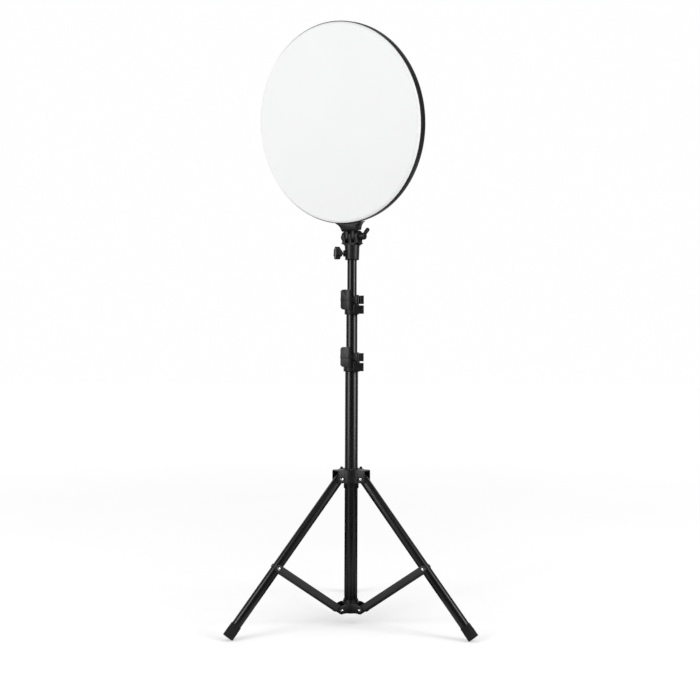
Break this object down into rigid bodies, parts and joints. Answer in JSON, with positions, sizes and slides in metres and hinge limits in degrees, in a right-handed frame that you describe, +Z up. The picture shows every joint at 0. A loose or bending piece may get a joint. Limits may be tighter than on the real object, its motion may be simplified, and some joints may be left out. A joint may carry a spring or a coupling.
{
  "type": "led studio light",
  "caption": "Round LED studio light: a flat opal disc in a black housing on a tilting neck, a telescopic column with flip locks, and a folding three-legged stand.",
  "frame": {"origin": "on the column's axis, at the flat underside of the plug that closes the column's foot", "axes": "+Z up along the column; -Y towards the camera that took the picture; +X to its right. One leg points along +Y."},
  "size_m": [0.4012, 0.3657, 0.9916],
  "materials": {
    "tube_black": "smooth semi-gloss black paint",
    "brace_black": "satin black paint on pressed steel",
    "black_plastic": "fine-grained black moulding",
    "housing_black": "satin black moulding",
    "rubber": "dull black rubber",
    "nylon": "pale grey nylon",
    "bright_steel": "bright nickel finish",
    "black_steel": "blackened steel",
    "opal": "white opal diffuser",
    "board_white": "white solder mask",
    "board_green": "green solder mask",
    "button_grey": "dark grey keys"
  },
  "bodies": {
    "stand": {"column_tube": "tube_black", "column_foot_plug": "black_plastic", "lower_hub": "black_plastic", "hub_rivet_left": "bright_steel", "hub_rivet_right": "bright_steel", "hub_rivet_rear": "bright_steel", "lower_lock_collar": "black_plastic", "lower_lock_pin": "black_steel", "lower_lock_liner": "nylon"},
    "crown": {"crown": "black_plastic", "crown_rivet_left": "bright_steel", "crown_rivet_right": "bright_steel", "crown_rivet_rear": "bright_steel", "crown_screw_left": "black_steel", "crown_screw_right": "black_steel", "crown_screw_rear": "black_steel"},
    "leg_left": {"leg_left": "tube_black", "foot_left": "rubber"},
    "leg_right": {"leg_right": "tube_black", "foot_right": "rubber"},
    "leg_rear": {"leg_rear": "tube_black", "foot_rear": "rubber"},
    "brace_left": {"brace_left": "brace_black", "brace_stud_left_near": "bright_steel", "brace_stud_left_far": "bright_steel"},
    "brace_right": {"brace_right": "brace_black", "brace_stud_right_near": "bright_steel", "brace_stud_right_far": "bright_steel"},
    "brace_rear": {"brace_rear": "brace_black", "brace_stud_rear_near": "bright_steel", "brace_stud_rear_far": "bright_steel"},
    "mid_section": {"mid_tube": "tube_black", "mid_tube_guide": "nylon", "upper_lock_collar": "black_plastic", "upper_lock_pin": "black_steel", "upper_lock_liner": "nylon"},
    "top_section": {"top_tube": "tube_black", "top_tube_guide": "nylon", "top_spigot": "bright_steel"},
    "lower_lever": {"lower_lock_lever": "black_plastic"},
    "upper_lever": {"upper_lock_lever": "black_plastic"},
    "swivel": {"socket_base": "black_plastic", "hinge_bolt": "black_steel"},
    "clamp": {"clamp_knob": "black_plastic", "clamp_screw": "bright_steel"},
    "wing": {"wing_nut": "black_plastic"},
    "light_head": {"neck": "black_plastic", "neck_screw_left": "black_steel", "neck_screw_right": "black_steel", "rear_housing": "housing_black", "diffuser": "opal", "led_board": "board_white", "driver_board": "board_green", "power_inlet": "black_plastic"},
    "dim_button": {"dim_button": "button_grey"},
    "power_button": {"power_button": "button_grey"},
    "bright_button": {"bright_button": "button_grey"}
  },
  "joints": [
    {"name": "crown_slide", "type": "slide", "parent": "stand", "child": "crown", "axis": [0, 0, 1], "range_m": [0, 0.10102]},
    {"name": "leg_left_fold", "type": "hinge", "parent": "crown", "child": "leg_left", "pos_m": [-0.02035, -0.01175, 0.226], "axis": [0.5, -0.866, 0], "range_deg": [0, 37]},
    {"name": "brace_left_fold", "type": "hinge", "parent": "stand", "child": "brace_left", "pos_m": [-0.02035, -0.01175, 0.0081], "axis": [0.5, -0.866, 0], "range_deg": [-51.07, 0]},
    {"name": "leg_right_fold", "type": "hinge", "parent": "crown", "child": "leg_right", "pos_m": [0.02035, -0.01175, 0.226], "axis": [0.5, 0.866, 0], "range_deg": [0, 37]},
    {"name": "brace_right_fold", "type": "hinge", "parent": "stand", "child": "brace_right", "pos_m": [0.02035, -0.01175, 0.0081], "axis": [0.5, 0.866, 0], "range_deg": [-51.07, 0]},
    {"name": "leg_rear_fold", "type": "hinge", "parent": "crown", "child": "leg_rear", "pos_m": [0, 0.0235, 0.226], "axis": [-1, 0, 0], "range_deg": [0, 37]},
    {"name": "brace_rear_fold", "type": "hinge", "parent": "stand", "child": "brace_rear", "pos_m": [0, 0.0235, 0.0081], "axis": [-1, 0, 0], "range_deg": [-51.07, 0]},
    {"name": "mid_slide", "type": "slide", "parent": "stand", "child": "mid_section", "axis": [0, 0, 1], "range_m": [-0.05, 0.285]},
    {"name": "top_slide", "type": "slide", "parent": "mid_section", "child": "top_section", "axis": [0, 0, 1], "range_m": [-0.048, 0.315]},
    {"name": "lower_lever_flip", "type": "hinge", "parent": "stand", "child": "lower_lever", "pos_m": [0.01016, -0.013, 0.4294], "axis": [0, 0, 1], "range_deg": [0, 90]},
    {"name": "upper_lever_flip", "type": "hinge", "parent": "mid_section", "child": "upper_lever", "pos_m": [0.00924, -0.01182, 0.5254], "axis": [0, 0, 1], "range_deg": [0, 90]},
    {"name": "swivel_turn", "type": "hinge", "parent": "top_section", "child": "swivel", "pos_m": [0, 0, 0.604], "axis": [0, 0, 1], "continuous": true},
    {"name": "clamp_turn", "type": "hinge", "parent": "swivel", "child": "clamp", "pos_m": [-0.01932, -0.00518, 0.6036], "axis": [-0.9659, -0.2588, 0], "continuous": true},
    {"name": "head_tilt", "type": "hinge", "parent": "swivel", "child": "light_head", "pos_m": [0, 0, 0.6316], "axis": [0.8121, -0.5835, 0], "range_deg": [-100, 78]},
    {"name": "wing_turn", "type": "hinge", "parent": "swivel", "child": "wing", "pos_m": [0, 0, 0.6316], "axis": [0.8121, -0.5835, 0], "continuous": true},
    {"name": "dim_press", "type": "slide", "parent": "light_head", "child": "dim_button", "axis": [-0.5724, -0.7966, -0.1942], "range_m": [0, 0.0005], "stiffness_N_per_m": 600, "springref_m": -0.0005},
    {"name": "power_press", "type": "slide", "parent": "light_head", "child": "power_button", "axis": [-0.5724, -0.7966, -0.1942], "range_m": [0, 0.0005], "stiffness_N_per_m": 600, "springref_m": -0.0005},
    {"name": "bright_press", "type": "slide", "parent": "light_head", "child": "bright_button", "axis": [-0.5724, -0.7966, -0.1942], "range_m": [0, 0.0005], "stiffness_N_per_m": 600, "springref_m": -0.0005}
  ],
  "couplings": [
    {"joint": "crown_slide", "follows": "leg_left_fold", "m_per_rad": 0.15643},
    {"joint": "brace_left_fold", "follows": "leg_left_fold", "ratio": -1.3803},
    {"joint": "leg_right_fold", "follows": "leg_left_fold", "ratio": 1},
    {"joint": "brace_right_fold", "follows": "leg_left_fold", "ratio": -1.3803},
    {"joint": "leg_rear_fold", "follows": "leg_left_fold", "ratio": 1},
    {"joint": "brace_rear_fold", "follows": "leg_left_fold", "ratio": -1.3803}
  ]
}
